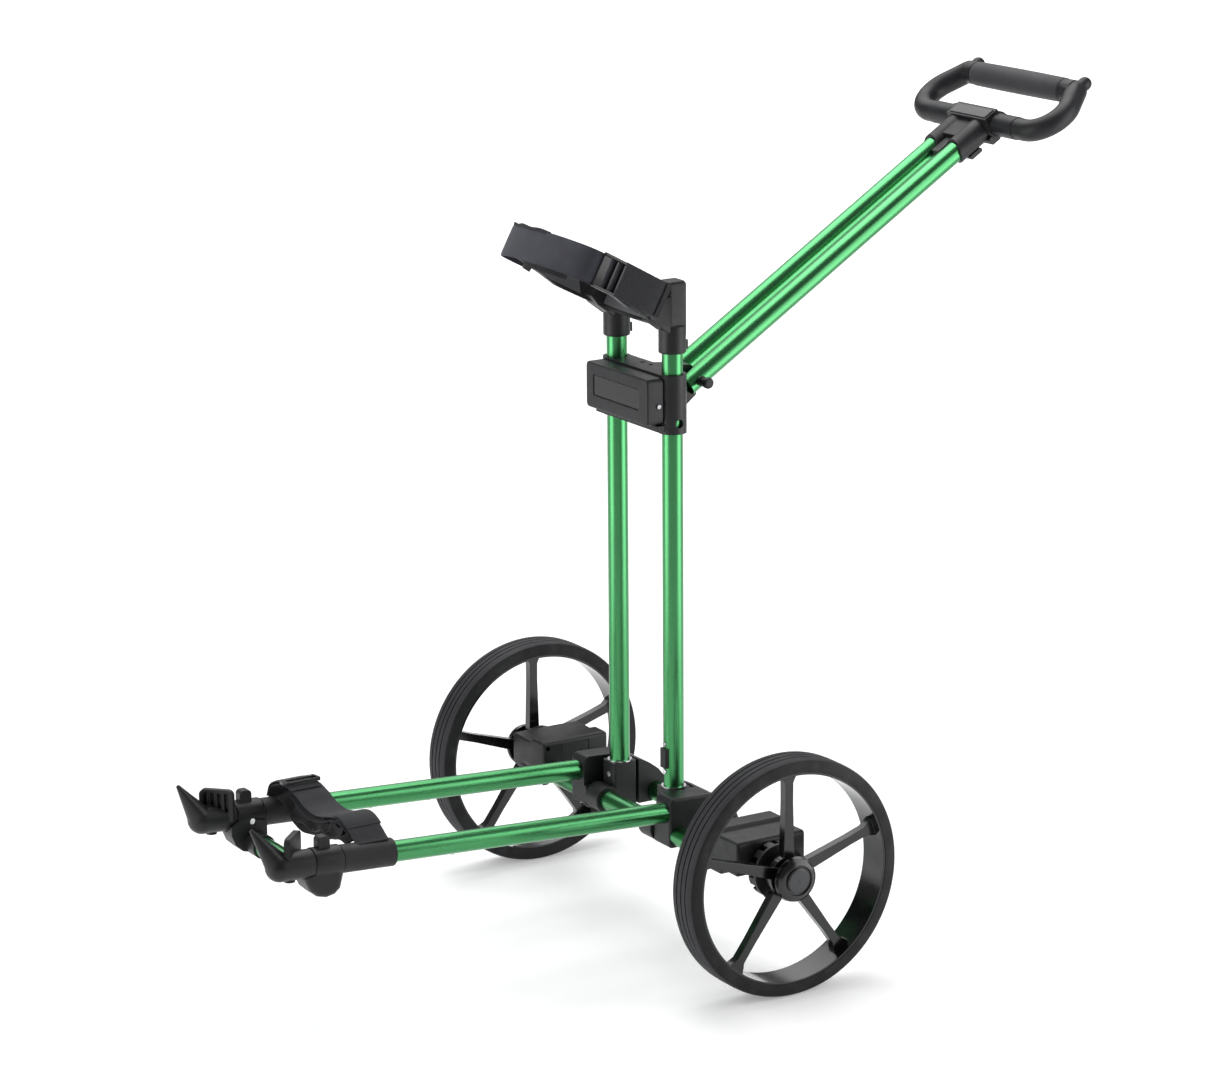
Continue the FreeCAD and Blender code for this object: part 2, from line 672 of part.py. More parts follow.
ALONG = toward(UP_S.x, UP_S.y, UP_S.z)
start_y, start_z = on_handle(-14)
handle_bar = tube("HandleTube", handle_len + 14, handle_x, start_y, start_z, ALONG)
pin_hole = cyl(5, 40, handle_x - 20, Y(handle_y), handle_z, TO_X)
keep_pair("handle_tube", cut(handle_bar, pin_hole))
bolt = cut(cyl(5, 73.2, -38.4, Y(handle_y), handle_z, TO_X),
           cyl(3.05, 14, 23, Y(handle_y), handle_z, TO_X))
bolt_head = cyl(7.5, 3, -41.4, Y(handle_y), handle_z, TO_X)
keep("handle_bolt", fuse(bolt, bolt_head))
knob_head = round_edges(cyl(6.8, 8.5, 46.5, Y(handle_y), handle_z, TO_X), 2.4,
                        lambda e: e.Length > 40)
knob_neck = cyl(4.6, 12, 36.6, Y(handle_y), handle_z, TO_X)
knob_base = cyl(6.2, 3, 36.6, Y(handle_y), handle_z, TO_X)
knob_stem = cyl(3, 13, 25, Y(handle_y), handle_z, TO_X)
keep("handle_lock_knob", fuse(knob_head, knob_neck, knob_base, knob_stem))

barrel = hcyl(16.7, 88, -44, bar_s)
sockets = []
tube_bores = []
for side in (1, -1):
    sy, sz = on_handle(444)
    sockets.append(cyl(15.6, bar_s - 452, side * handle_x, sy, sz, ALONG))
    by, bz = on_handle(430)
    tube_bores.append(cyl(tube_r, handle_len - 430, side * handle_x, by, bz, ALONG))
bridge_web = hbox(-handle_x, handle_x, 466, bar_s - 4, -15.6, 12)
shoulder = hbox(-36, 43.4, bar_s - 14, bar_s + 8.6, 6, 17.6)
jaw = round_edges(hbox(22, 41, bar_s - 20, bar_s - 3, -18.6, -8), 4.0, lambda e: straight(e, 0))
jaw_right = round_edges(hbox(-41, -22, bar_s - 20, bar_s - 3, -18.6, -8), 4.0,
                        lambda e: straight(e, 0))
web_tongue = hbox(-7, 7, 438, 470, -9, 7)
face_cut = slab_x("FaceCut", [(0, -40), (14, -40), (14, 2), (24, 22), (24, 60), (0, 60)], -60, 60)
cut_y, cut_z = on_handle(434)
place(face_cut, 0, cut_y, cut_z, FreeCAD.Rotation(V(1, 0, 0), handle_angle.value))
button_seat = hbox(-33.4, 33.4, 459.6, 480.4, -18, -12)
bar_bore = hcyl(bar_r + 0.08, 100, -50, bar_s)
socket_pair = cut(fuse(*sockets), face_cut)
bracket = cut(fuse(socket_pair, bridge_web, barrel, shoulder, jaw, jaw_right, web_tongue),
              button_seat, bar_bore, *tube_bores)
keep("handle_bracket", bracket)
plate = round_edges(hbox(-32, 40, bar_s - 11, bar_s + 5, 17.6, 18.8), 0.5,
                    lambda e: straight(e, 0))
keep("bracket_label", plate)
button = round_edges(hbox(-33, 33, 460, 480, -19.4, -13.6), 2.4, lambda e: straight(e, 0))
keep("tilt_release", button)

# D-handle: one bent bar, its corner knobs and the foam grip
reach = (grip_s - bar_s).value
low_half = 160.0
top_half = 110.0
core_r = bar_r.value - 0.6


def in_plane(x, along, across=0.0):
    y, z = on_handle(bar_s + along, across)
    return V(x, dim(y).value, dim(z).value)


def rounded_path(points, radii):
    """Straight runs joined by tangent arcs."""
    edges = []
    last = points[0]
    for i in range(1, len(points) - 1):
        a = (points[i - 1] - points[i]).normalize()
        b = (points[i + 1] - points[i]).normalize()
        half_angle = math.acos(max(-1.0, min(1.0, a.dot(b)))) / 2
        back = radii[i - 1] / math.tan(half_angle)
        p = points[i] + a * back
        q = points[i] + b * back
        mid = (a + b).normalize()
        centre = points[i] + mid * (radii[i - 1] / math.sin(half_angle))
        m = centre - mid * radii[i - 1]
        edges.append(Part.LineSegment(last, p).toShape())
        edges.append(Part.Arc(p, m, q).toShape())
        last = q
    edges.append(Part.LineSegment(last, points[-1]).toShape())
    return Part.Wire(edges)


corners = [in_plane(-top_half, reach), in_plane(-low_half, 0), in_plane(low_half, 0),
           in_plane(top_half, reach)]
path = rounded_path(corners, [34, 34])
first = path.Edges[0]
direction = first.tangentAt(first.FirstParameter)
ring_wire = Part.Wire([Part.Circle(corners[0], direction, core_r).toShape()])
bent = path.makePipeShell([ring_wire], True, False)
loop_bar = doc.addObject("Part::Feature", "LoopBar")
loop_bar.Shape = bent
bore_wire = Part.Wire([Part.Circle(corners[0], direction, core_r - 3.4).toShape()])
loop_bore = doc.addObject("Part::Feature", "LoopBore")
loop_bore.Shape = path.makePipeShell([bore_wire], True, False)
straight_bar = hcyl(bar_r, 170, -85, bar_s)
crown = hcyl(9, 2 * top_half - 8, -top_half + 4, grip_s)
end_collars = []
knobs = []
for side in (1, -1):
    end_collars.append(ball(core_r, side * top_half, *on_handle(grip_s)))
    end_collars.append(cyl(grip_r - 1.2, 18, side * 100.2 - 9, *on_handle(grip_s), TO_X))
    stem_y, stem_z = on_handle(grip_s)
    knobs.append(cyl(8.6, 17, side * (top_half - 1), stem_y, stem_z, ALONG))
    knobs.append(ball(8.6, side * (top_half - 1), *on_handle(grip_s + 17)))
loop = cut(fuse(loop_bar, straight_bar, crown, *(end_collars + knobs)), loop_bore)
keep("d_handle", loop)
keep("foam_grip", cut(hcyl(grip_r, grip_half * 2, -grip_half, grip_s),
                      hcyl(9, 220, -110, grip_s)))

# ---- straps, as plain closed solids ----
def offset_ring(title, points, thick, high, rotation, x, y, z):
    """A band of one thickness that follows an open run of points in its own XY plane."""
    outer = []
    inner = []
    count = len(points)
    for i in range(count):
        a = V(*points[max(i - 1, 0)], 0)
        b = V(*points[min(i + 1, count - 1)], 0)
        d = (b - a).normalize()
        side = V(-d.y, d.x, 0) * (thick / 2)
        p = V(*points[i], 0)
        outer.append(p + side)
        inner.append(p - side)
    body = new_body(title)
    corners_2d = [(p.x, p.y) for p in outer + inner[::-1]]
    sk = outline_sketch(body, "XY_Plane", corners_2d)
    pad(body, sk, high, True)
    return place(body, x, y, z, rotation)


arm_x = cradle_r.value + 5.5
front_run = [(arm_x + 2.2, 140), (arm_x - 1, 153), (76, 163), (45, 172), (0, 176), (-45, 172),
             (-76, 163), (-arm_x + 1, 153), (-arm_x - 2.2, 140), (-arm_x, 112)]
keep("upper_strap", offset_ring("UpperStrap", front_run, 4, strap_wide, CR, 0, Y(-4), 786))
wrap_run = [(arm_x - 9, 26), (arm_x - 1, 52), (arm_x, 82), (arm_x + 1.6, 138.5)]
keep("strap_wrap", offset_ring("StrapWrap", wrap_run, 6, strap_wide + 8, CR, 0, Y(-4), 786))

LR = FreeCAD.Rotation(V(1, 0, 0), V(0, 0, 1), V(0, -1, 0), "XYZ")
strap_q = 436.5
belt_y, belt_z = on_base(strap_q)
over = [(88, 19), (83, 26), (62, 33), (46, 33.5), (14, 25), (-3, 23.5), (-25, 26), (-45, 33),
        (-72, 38), (-100, 33), (-115, 24), (-120.5, 4)]
keep("lower_strap_top", offset_ring("LowerStrapTop", over, 4, 42, LR, 0, belt_y, belt_z))
under = [(80, 13), (62, 8), (37, 3), (12, -3), (-9, -6), (-30, -10), (-51, -12), (-74, -6), (-82, 4)]
keep("lower_strap_under", offset_ring("LowerStrapUnder", under, 4, 26, LR, 0, belt_y, belt_z))

# ---- small fasteners ----
foot_screws = []
hook_screws = []
rivets = []
end_y, end_z = on_base(542, -16.6)
for side in (1, -1):
    inner = side * base_x - side * 17.6
    start = inner - 1.6 if side > 0 else inner
    foot_screws.append(cyl(3.6, 1.6, start, screw_y, screw_z - 4, TO_X))
    hook_screws.append(cyl(6.5, 2.4, side * base_x, end_y, end_z - 2, None))
    for q in (250, 330):
        ry, rz = on_base(q, -12.2)
        rivets.append(cyl(2.6, 1.6, side * base_x, ry, rz - 1.5, None))
keep("foot_screws", group(*foot_screws))
hook_bar = along_base(516.4, 17.02, 60)
keep("hook_screws", cut(group(*hook_screws), hook_bar, mirror(hook_bar)))
base_bar = along_base(0, tube_r, base_len)
keep("base_rivets", cut(group(*rivets), base_bar, mirror(base_bar)))
block_screws = []
carrier_screws = []
for side in (1, -1):
    block_screws.append(cyl(3.4, 2.4, side * 58.5, Y(-28.4), 178, TO_Y))
    cx = side * (carrier_in - 1.4) if side > 0 else side * carrier_in
    carrier_screws.append(cyl(2.2, 1.4, cx, Y(14), 147.2, TO_X))
keep("block_screws", group(*block_screws))
keep("carrier_screws", group(*carrier_screws))

# ---- check and write ----
doc.recompute()
problems = []
for obj in doc.Objects:
    if "Invalid" in obj.State or "Error" in obj.State:
        problems.append(obj.Name + " " + ",".join(obj.State))
for label, obj in nodes.items():
    shape = obj.Shape
    if shape.isNull() or not shape.isValid() or not shape.Solids:
        problems.append(label + " has no sound solid")
if problems:
    raise RuntimeError("; ".join(problems))
whole = FreeCAD.BoundBox()
for label, obj in nodes.items():
    obj.Shape.exportStep("parts/" + label + ".step")
    whole.add(obj.Shape.BoundBox)
print(len(nodes), "nodes")
print("X", round(whole.XMin, 2), round(whole.XMax, 2))
print("Y", round(whole.YMin, 2), round(whole.YMax, 2))
print("Z", round(whole.ZMin, 2), round(whole.ZMax, 2))
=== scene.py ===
"""Golf push trolley: materials, webbing, foam, floor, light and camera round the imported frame."""

import math

import bpy
from mathutils import Matrix, Vector


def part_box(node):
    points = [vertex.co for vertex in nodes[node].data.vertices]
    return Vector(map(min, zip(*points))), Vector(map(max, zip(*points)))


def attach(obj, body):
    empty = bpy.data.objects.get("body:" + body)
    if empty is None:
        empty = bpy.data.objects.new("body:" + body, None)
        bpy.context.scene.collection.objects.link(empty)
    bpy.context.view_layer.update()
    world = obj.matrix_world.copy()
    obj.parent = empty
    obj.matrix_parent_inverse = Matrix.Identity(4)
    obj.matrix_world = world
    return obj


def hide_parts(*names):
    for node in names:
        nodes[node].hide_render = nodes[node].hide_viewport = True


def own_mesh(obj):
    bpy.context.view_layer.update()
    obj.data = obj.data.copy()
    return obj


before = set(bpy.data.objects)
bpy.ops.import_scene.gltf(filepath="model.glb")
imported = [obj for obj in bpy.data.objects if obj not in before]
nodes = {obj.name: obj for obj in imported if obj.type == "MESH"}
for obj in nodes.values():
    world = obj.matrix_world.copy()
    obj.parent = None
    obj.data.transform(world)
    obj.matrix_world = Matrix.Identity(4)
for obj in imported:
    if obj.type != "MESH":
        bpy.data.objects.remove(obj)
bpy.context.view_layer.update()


# ---- places taken from the frame ----
def middle(node):
    low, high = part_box(node)
    return (low + high) / 2


axle = middle("stub_axles")
grip_at = middle("foam_grip")
grip_low, grip_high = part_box("foam_grip")
sleeve_low, sleeve_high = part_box("grip_sleeves")
column_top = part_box("column_left")[1].z
MM = 0.001
cradle_tilt = math.radians(28.5)
cradle_at = Vector((0, axle.y - 4 * MM, column_top + 34 * MM))
strap_at = Vector((0, (sleeve_low.y + sleeve_high.y) / 2 + 8 * MM, 197.4 * MM))


# ---- node helpers ----
class Tree:
    """A short way to add linked shader nodes."""

    def __init__(self, name):
        self.mat = bpy.data.materials.new(name)
        self.mat.use_nodes = True
        self.tree = self.mat.node_tree
        self.shader = self.tree.nodes["Principled BSDF"]

    def add(self, kind, inputs=None, **settings):
        node = self.tree.nodes.new(kind)
        for key, value in settings.items():
            setattr(node, key, value)
        for key, value in (inputs or {}).items():
            if isinstance(value, bpy.types.NodeSocket):
                self.tree.links.new(value, node.inputs[key])
            else:
                node.inputs[key].default_value = value
        return node

    def math(self, operation, a, b=0.0):
        return self.add("ShaderNodeMath", {0: a, 1: b}, operation=operation).outputs[0]

    def noise(self, where, scale, detail=3.0, rough=0.5):
        inputs = {"Vector": where, "Scale": scale, "Detail": detail, "Roughness": rough}
        return self.add("ShaderNodeTexNoise", inputs).outputs["Fac"]

    def spread(self, value, low, high, to_low=0.0, to_high=1.0):
        inputs = {"Value": value, "From Min": low, "From Max": high, "To Min": to_low, "To Max": to_high}
        return self.add("ShaderNodeMapRange", inputs).outputs[0]

    def mix(self, factor, a, b):
        node = self.add("ShaderNodeMix", data_type="RGBA")
        for socket, value in ((0, factor), (6, a), (7, b)):
            if isinstance(value, bpy.types.NodeSocket):
                self.tree.links.new(value, node.inputs[socket])
            else:
                node.inputs[socket].default_value = value
        return node.outputs[2]

    def stretched(self, where, scale):
        return self.add("ShaderNodeMapping", {"Vector": where, "Scale": scale}).outputs[0]

    def set(self, **values):
        for key, value in values.items():
            socket = self.shader.inputs[key.replace("_", " ")]
            if isinstance(value, bpy.types.NodeSocket):
                self.tree.links.new(value, socket)
            else:
                socket.default_value = value


def rgb(color, factor=1.0):
    return (color[0] * factor, color[1] * factor, color[2] * factor, 1.0)


def place_of(t):
    return t.add("ShaderNodeTexCoord").outputs["Object"]


WORN_FROM, WORN_TO = 0.53, 0.62
BEVEL_RADIUS = 0.0016
RIB_PITCH = 0.0022


def edge_wear(t, amount):
    """A faint pale line on outer edges, where hands and other parts rub."""
    point = t.add("ShaderNodeNewGeometry").outputs["Pointiness"]
    return t.spread(point, WORN_FROM, WORN_TO, 0.0, amount)


def moulded(name, color, rough, grain=0.35, grain_scale=1400.0, coat=0.0, wear=0.2,
            gloss=0.3):
    """Moulded plastic or rubber: fine texture, cloudy gloss, soft and slightly rubbed edges."""
    t = Tree(name)
    where = place_of(t)
    cloud = t.noise(where, 14.0, 4.0)
    shade = t.mix(t.spread(cloud, 0.35, 0.65), rgb(color, 0.86), rgb(color, 1.16))
    rubbed = t.mix(edge_wear(t, wear), shade, rgb([c * 1.6 + 0.02 for c in color]))
    fine = t.noise(where, grain_scale, 2.0, 0.6)
    smear = t.noise(where, 55.0, 5.0, 0.6)
    soft_edge = t.add("ShaderNodeBevel", {"Radius": BEVEL_RADIUS}, samples=4).outputs[0]
    bump = t.add("ShaderNodeBump", {"Height": fine, "Strength": grain, "Distance": 0.0003,
                                    "Normal": soft_edge})
    t.set(Base_Color=rubbed, Roughness=t.spread(smear, 0.3, 0.7, rough - 0.06, rough + 0.07))
    t.set(Normal=bump.outputs[0], Coat_Weight=coat, Coat_Roughness=0.12, Specular_IOR_Level=gloss)
    return t.mat


def anodised(name, color, along):
    """Dyed anodised aluminium tube: satin metal with faint drawing lines along the tube."""
    t = Tree(name)
    where = place_of(t)
    lines = t.noise(t.stretched(where, along), 1.0, 3.0, 0.6)
    cloud = t.noise(where, 9.0, 3.0)
    shade = t.mix(t.spread(cloud, 0.3, 0.7), rgb(color, 0.92), rgb(color, 1.07))
    worn = t.mix(edge_wear(t, 0.15), shade, rgb([c * 0.5 + 0.3 for c in color]))
    speck = t.noise(where, 2600.0, 1.0)
    grain = t.math("ADD", t.math("MULTIPLY", lines, 0.5), t.math("MULTIPLY", speck, 0.5))
    bump = t.add("ShaderNodeBump", {"Height": grain, "Strength": 0.06, "Distance": 0.0002})
    t.set(Base_Color=worn, Metallic=1.0, Normal=bump.outputs[0])
    t.set(Roughness=t.spread(lines, 0.3, 0.7, 0.25, 0.31))
    return t.mat


def steel(name, color, rough, turned=900.0):
    """Plated or brushed steel with fine turning marks and a few dull spots."""
    t = Tree(name)
    where = place_of(t)
    marks = t.noise(t.stretched(where, (turned, turned, turned * 0.25)), 1.0, 2.0)
    spots = t.noise(where, 160.0, 4.0)
    shade = t.mix(t.spread(spots, 0.45, 0.75), rgb(color), rgb(color, 0.72))
    bump = t.add("ShaderNodeBump", {"Height": marks, "Strength": 0.1, "Distance": 0.0001})
    t.set(Base_Color=shade, Metallic=1.0, Normal=bump.outputs[0])
    t.set(Roughness=t.spread(spots, 0.3, 0.7, rough, rough + 0.14))
    return t.mat


def tyre_rubber(name, color):
    """Solid tyre: dull rubber, faint circular moulding lines, dusty tread and darker side walls."""
    t = Tree(name)
    where = place_of(t)
    axes = t.add("ShaderNodeSeparateXYZ", {"Vector": where})
    dy = t.math("SUBTRACT", axes.outputs[1], axle.y)
    dz = t.math("SUBTRACT", axes.outputs[2], axle.z)
    radius = t.math("SQRT", t.math("ADD", t.math("MULTIPLY", dy, dy), t.math("MULTIPLY", dz, dz)))
    rings = t.math("SINE", t.math("MULTIPLY", radius, 2 * math.pi / RIB_PITCH))
    fine = t.noise(where, 700.0, 4.0, 0.65)
    dust = t.spread(t.noise(where, 32.0, 5.0, 0.6), 0.42, 0.72, 0.0, 0.55)
    scuff = t.spread(t.noise(t.stretched(where, (220, 40, 40)), 1.0, 4.0), 0.5, 0.8, 0.0, 0.4)
    facing = t.add("ShaderNodeSeparateXYZ", {"Vector": t.add("ShaderNodeTexCoord").outputs["Normal"]})
    wall = t.spread(t.math("ABSOLUTE", facing.outputs[0]), 0.5, 0.9)
    tread = t.mix(dust, rgb(color), rgb(color, 1.7))
    shade = t.mix(wall, tread, rgb(color, 0.4))
    shade = t.mix(scuff, shade, rgb(color, 2.1))
    height = t.math("ADD", t.math("MULTIPLY", rings, 0.12), fine)
    bump = t.add("ShaderNodeBump", {"Height": height, "Strength": 0.35, "Distance": 0.0004})
    t.set(Base_Color=shade, Normal=bump.outputs[0])
    t.set(Roughness=t.spread(dust, 0.0, 0.55, 0.55, 0.75), Specular_IOR_Level=0.25)
    return t.mat


def foam(name, color):
    """Closed-cell foam: tiny pores and a soft sheen."""
    t = Tree(name)
    where = place_of(t)
    cells = t.add("ShaderNodeTexVoronoi", {"Vector": where, "Scale": 900.0}).outputs["Distance"]
    cloud = t.noise(where, 30.0, 4.0)
    height = t.math("ADD", cells, t.math("MULTIPLY", t.noise(where, 260.0, 3.0), 0.6))
    bump = t.add("ShaderNodeBump", {"Height": height, "Strength": 0.5, "Distance": 0.0004})
    shade = t.mix(t.spread(cloud, 0.3, 0.7), rgb(color, 0.85), rgb(color, 1.3))
    t.set(Base_Color=shade, Normal=bump.outputs[0], Sheen_Weight=0.12, Sheen_Roughness=0.5)
    t.set(Roughness=t.spread(cells, 0.0, 0.6, 0.82, 0.66))
    return t.mat


def webbing(name, color, pitch_long=0.0026, pitch_wide=0.0017, fuzz=0.3):
    """Woven nylon tape with painted shade between its threads. The mesh's UV map holds distances along
    and across in metres.
    """
    t = Tree(name)
    uv = t.add("ShaderNodeUVMap", uv_map="tape").outputs[0]
    axes = t.add("ShaderNodeSeparateXYZ", {"Vector": uv})
    long = t.math("MULTIPLY", axes.outputs[0], 2 * math.pi / pitch_long)
    wide = t.math("MULTIPLY", axes.outputs[1], 2 * math.pi / pitch_wide)
    half_turn = t.math("MULTIPLY", t.math("SIGN", t.math("SINE", wide)), math.pi / 2)
    picks = t.math("SINE", t.math("ADD", long, half_turn))
    cords = t.math("ABSOLUTE", t.math("SINE", wide))
    weave = t.math("ADD", t.math("MULTIPLY", picks, 0.5), t.math("MULTIPLY", cords, 0.9))
    where = place_of(t)
    fibre = t.noise(where, 1500.0, 3.0, 0.7)
    height = t.math("ADD", weave, t.math("MULTIPLY", fibre, fuzz))
    bump = t.add("ShaderNodeBump", {"Height": height, "Strength": 0.55, "Distance": 0.0004})
    # Painted shade: the weave's raised threads are painted lighter and the dips between them darker.
    weave_painted_shade = t.spread(weave, -0.4, 1.3, 0.0, 1.0)
    shade = t.mix(weave_painted_shade, rgb(color, 0.55), rgb(color, 1.35))
    fade = t.spread(t.noise(where, 40.0, 4.0), 0.4, 0.75, 0.0, 0.35)
    shade = t.mix(fade, shade, rgb(color, 1.9))
    t.set(Base_Color=shade, Normal=bump.outputs[0], Sheen_Weight=0.1, Sheen_Roughness=0.45)
    t.set(Roughness=t.spread(fibre, 0.3, 0.7, 0.6, 0.78), Specular_IOR_Level=0.25)
    return t.mat


def hook_tape(name, color):
    """The fuzzy loop face of hook-and-loop tape."""
    t = Tree(name)
    where = place_of(t)
    loops = t.add("ShaderNodeTexVoronoi", {"Vector": where, "Scale": 1300.0}).outputs["Distance"]
    tufts = t.noise(where, 600.0, 4.0, 0.7)
    height = t.math("ADD", loops, tufts)
    bump = t.add("ShaderNodeBump", {"Height": height, "Strength": 0.8, "Distance": 0.0006})
    shade = t.mix(t.spread(tufts, 0.35, 0.65), rgb(color, 0.7), rgb(color, 1.5))
    t.set(Base_Color=shade, Normal=bump.outputs[0], Roughness=0.92)
    t.set(Sheen_Weight=0.12, Sheen_Roughness=0.6, Specular_IOR_Level=0.2)
    return t.mat


GREEN = (0.03, 0.265, 0.073)
mats = {
    "tube_y": anodised("anodised_green_along_y", GREEN, (900, 14, 900)),
    "tube_z": anodised("anodised_green_along_z", GREEN, (900, 900, 14)),
    "tube_x": anodised("anodised_green_along_x", GREEN, (14, 900, 900)),
    "moulding": moulded("moulded_nylon", (0.0105, 0.0107, 0.012), 0.4),
    "bracket": moulded("moulded_nylon_fine", (0.014, 0.0144, 0.0162), 0.42, 0.28),
    "rim": moulded("gloss_rim_plastic", (0.0038, 0.0038, 0.0044), 0.17, 0.05, 300.0, 0.25, 0.1, 0.4),
    "cap": moulded("gloss_cap_plastic", (0.0045, 0.0045, 0.005), 0.17, 0.05, 300.0, 0.3, 0.1, 0.4),
    "badge": moulded("satin_badge_plastic", (0.035, 0.036, 0.039), 0.3, 0.1, 700.0, 0.2, 0.1),
    "label": moulded("smooth_label_plastic", (0.0055, 0.0056, 0.0062), 0.2, 0.06, 500.0, 0.3, 0.1),
    "tyre": tyre_rubber("solid_tyre_rubber", (0.021, 0.021, 0.0235)),
    "sleeve": moulded("rubber_sleeve", (0.011, 0.011, 0.0125), 0.55, 0.5, 1100.0),
    "foam": foam("closed_cell_foam", (0.024, 0.024, 0.028)),
    "liner": foam("soft_liner_rubber", (0.05, 0.051, 0.056)),
    "webbing": webbing("woven_nylon", (0.034, 0.035, 0.045)),
    "dark_webbing": webbing("woven_nylon_dark", (0.0135, 0.0138, 0.0175)),
    "edging": webbing("woven_nylon_fine", (0.0075, 0.0078, 0.0095), 0.0018, 0.0012),
    "hook_tape": hook_tape("loop_tape", (0.015, 0.0155, 0.019)),
    "buckle": moulded("buckle_acetal", (0.006, 0.006, 0.007), 0.3, 0.1, 600.0, 0.2),
    "bright": steel("zinc_plated_steel", (0.72, 0.72, 0.74), 0.2),
    "dark": steel("brushed_dark_steel", (0.32, 0.32, 0.34), 0.34),
}


# ---- CAD nodes keep their shape and get a material and smooth round faces ----
WELD_DISTANCE = 1e-6
SHARP_ANGLE = math.radians(32)


def smoothing_group():
    """Joins split corners and shades round faces smooth, leaving edges over SHARP_ANGLE sharp."""
    group = bpy.data.node_groups.new("smooth_round_faces", "GeometryNodeTree")
    group.interface.new_socket("Geometry", in_out="INPUT", socket_type="NodeSocketGeometry")
    group.interface.new_socket("Geometry", in_out="OUTPUT", socket_type="NodeSocketGeometry")
    add = group.nodes.new
    start, end = add("NodeGroupInput"), add("NodeGroupOutput")
    weld = add("GeometryNodeMergeByDistance")
    weld.inputs["Distance"].default_value = WELD_DISTANCE
    faces, edges = add("GeometryNodeSetShadeSmooth"), add("GeometryNodeSetShadeSmooth")
    faces.domain, edges.domain = "FACE", "EDGE"
    angle = add("GeometryNodeInputMeshEdgeAngle")
    sharp = add("FunctionNodeCompare")
    sharp.operation = "LESS_THAN"
    sharp.inputs["B"].default_value = SHARP_ANGLE
    link = group.links.new
    link(start.outputs[0], weld.inputs["Geometry"])
    link(weld.outputs[0], faces.inputs["Geometry"])
    link(faces.outputs[0], edges.inputs["Geometry"])
    link(angle.outputs["Unsigned Angle"], sharp.inputs["A"])
    link(sharp.outputs[0], edges.inputs["Shade Smooth"])
    link(edges.outputs[0], end.inputs[0])
    return group


smooth_group = smoothing_group()


def smooth(obj):
    modifier = obj.modifiers.new("smooth", "NODES")
    modifier.node_group = smooth_group


FINISH = {
    "tyre": "tyre", "rim": "rim", "hub_cap": "cap", "hub_badge": "badge", "lock_ring": "moulding",
    "base_tube": "tube_y", "column": "tube_z", "handle_tube": "tube_y",
    "cross_tube_front": "tube_x", "cross_tube_rear": "tube_x", "cross_tube_foot": "tube_x",
    "stub_axles": "dark", "catch_pins": "bright", "handle_bolt": "dark", "column_washers": "bright",
    "bumper_rivets": "bright", "base_rivets": "bright", "foot_screws": "bright",
    "block_screws": "bright", "carrier_screws": "bright", "cover_screws": "dark",
    "slider_label": "label", "bracket_label": "badge", "handle_bracket": "bracket",
    "d_handle": "bracket", "slider_cover": "bracket", "grip_sleeves": "sleeve",
    "cradle_liner": "liner", "foam_grip": "foam",
    "upper_strap": "webbing", "strap_wrap": "webbing",
    "lower_strap_top": "dark_webbing", "lower_strap_under": "dark_webbing",
}
for name, node in nodes.items():
    stem = name.replace("_left", "").replace("_right", "")
    node.data.materials.clear()
    node.data.materials.append(mats[FINISH.get(stem, "moulding")])
    smooth(node)


# ---- mesh helpers ----
TAPE_THICK = 2.4 * MM
# A tape's outer shares of the half width, where it thins, and how much it thins.
EDGE_FROM, EDGE_BAND, EDGE_THINNING = 0.93, 0.07, 0.65
# A plate's layers: the height as a share of the thickness, and the scale of the outline there.
PLATE_LAYERS = ((-0.5, 0.93), (-0.3, 1.0), (0.3, 1.0), (0.5, 0.93))


def new_mesh(name, verts, faces, material, uvs=None):
    mesh = bpy.data.meshes.new(name)
    mesh.from_pydata([tuple(v) for v in verts], [], faces)
    mesh.materials.append(mats[material])
    if uvs:
        layer = mesh.uv_layers.new(name="tape")
        for loop in mesh.loops:
            layer.data[loop.index].uv = uvs[loop.vertex_index]
    mesh.update()
    obj = bpy.data.objects.new(name, mesh)
    bpy.context.scene.collection.objects.link(obj)
    return obj


def curve_points(points, steps=7):
    """A smooth line through given points."""
    pts = [Vector(p) for p in points]
    ends = [2 * pts[0] - pts[1]] + pts + [2 * pts[-1] - pts[-2]]
    line = []
    for i in range(1, len(ends) - 2):
        a, b, c, d = ends[i - 1:i + 3]
        for k in range(steps):
            s = k / steps
            line.append(0.5 * (2 * b + (c - a) * s + (2 * a - 5 * b + 4 * c - d) * s * s
                               + (3 * b - a - 3 * c + d) * s ** 3))
    line.append(pts[-1])
    return line


def tape(name, points, width, thick, across, material, body, crown=0.0):
    """A flat woven tape along a line, with thinned edges.

    across is its width direction, and crown is how far its middle rises.
    """
    line = curve_points(points)
    wide = Vector(across).normalized()
    rows = 10
    verts, uvs, faces = [], [], []
    travelled = 0.0
    ring = 2 * (rows + 1)
    for i, p in enumerate(line):
        tangent = (line[min(i + 1, len(line) - 1)] - line[max(i - 1, 0)]).normalized()
        out = tangent.cross(wide).normalized()
        if i:
            travelled += (p - line[i - 1]).length
        for side in (1, -1):
            for k in range(rows + 1):
                share = (k / rows if side > 0 else 1 - k / rows) * 2 - 1
                edge = 1 - max(0.0, abs(share) - EDGE_FROM) / EDGE_BAND * EDGE_THINNING
                lift = crown * (1 - share * share)
                verts.append(p + wide * share * width / 2 + out * (side * thick / 2 * edge + lift))
                uvs.append((travelled, share * width / 2))
    for i in range(len(line) - 1):
        for k in range(ring):
            a, b = i * ring + k, i * ring + (k + 1) % ring
            faces.append((a, b, b + ring, a + ring))
    last = (len(line) - 1) * ring
    for start in (0, last):
        for k in range(rows):
            quad = (start + k, start + k + 1, start + ring - 2 - k, start + ring - 1 - k)
            faces.append(quad if start == last else quad[::-1])
    obj = new_mesh(name, verts, faces, material, uvs)
    smooth(obj)
    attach(obj, body)
    return obj


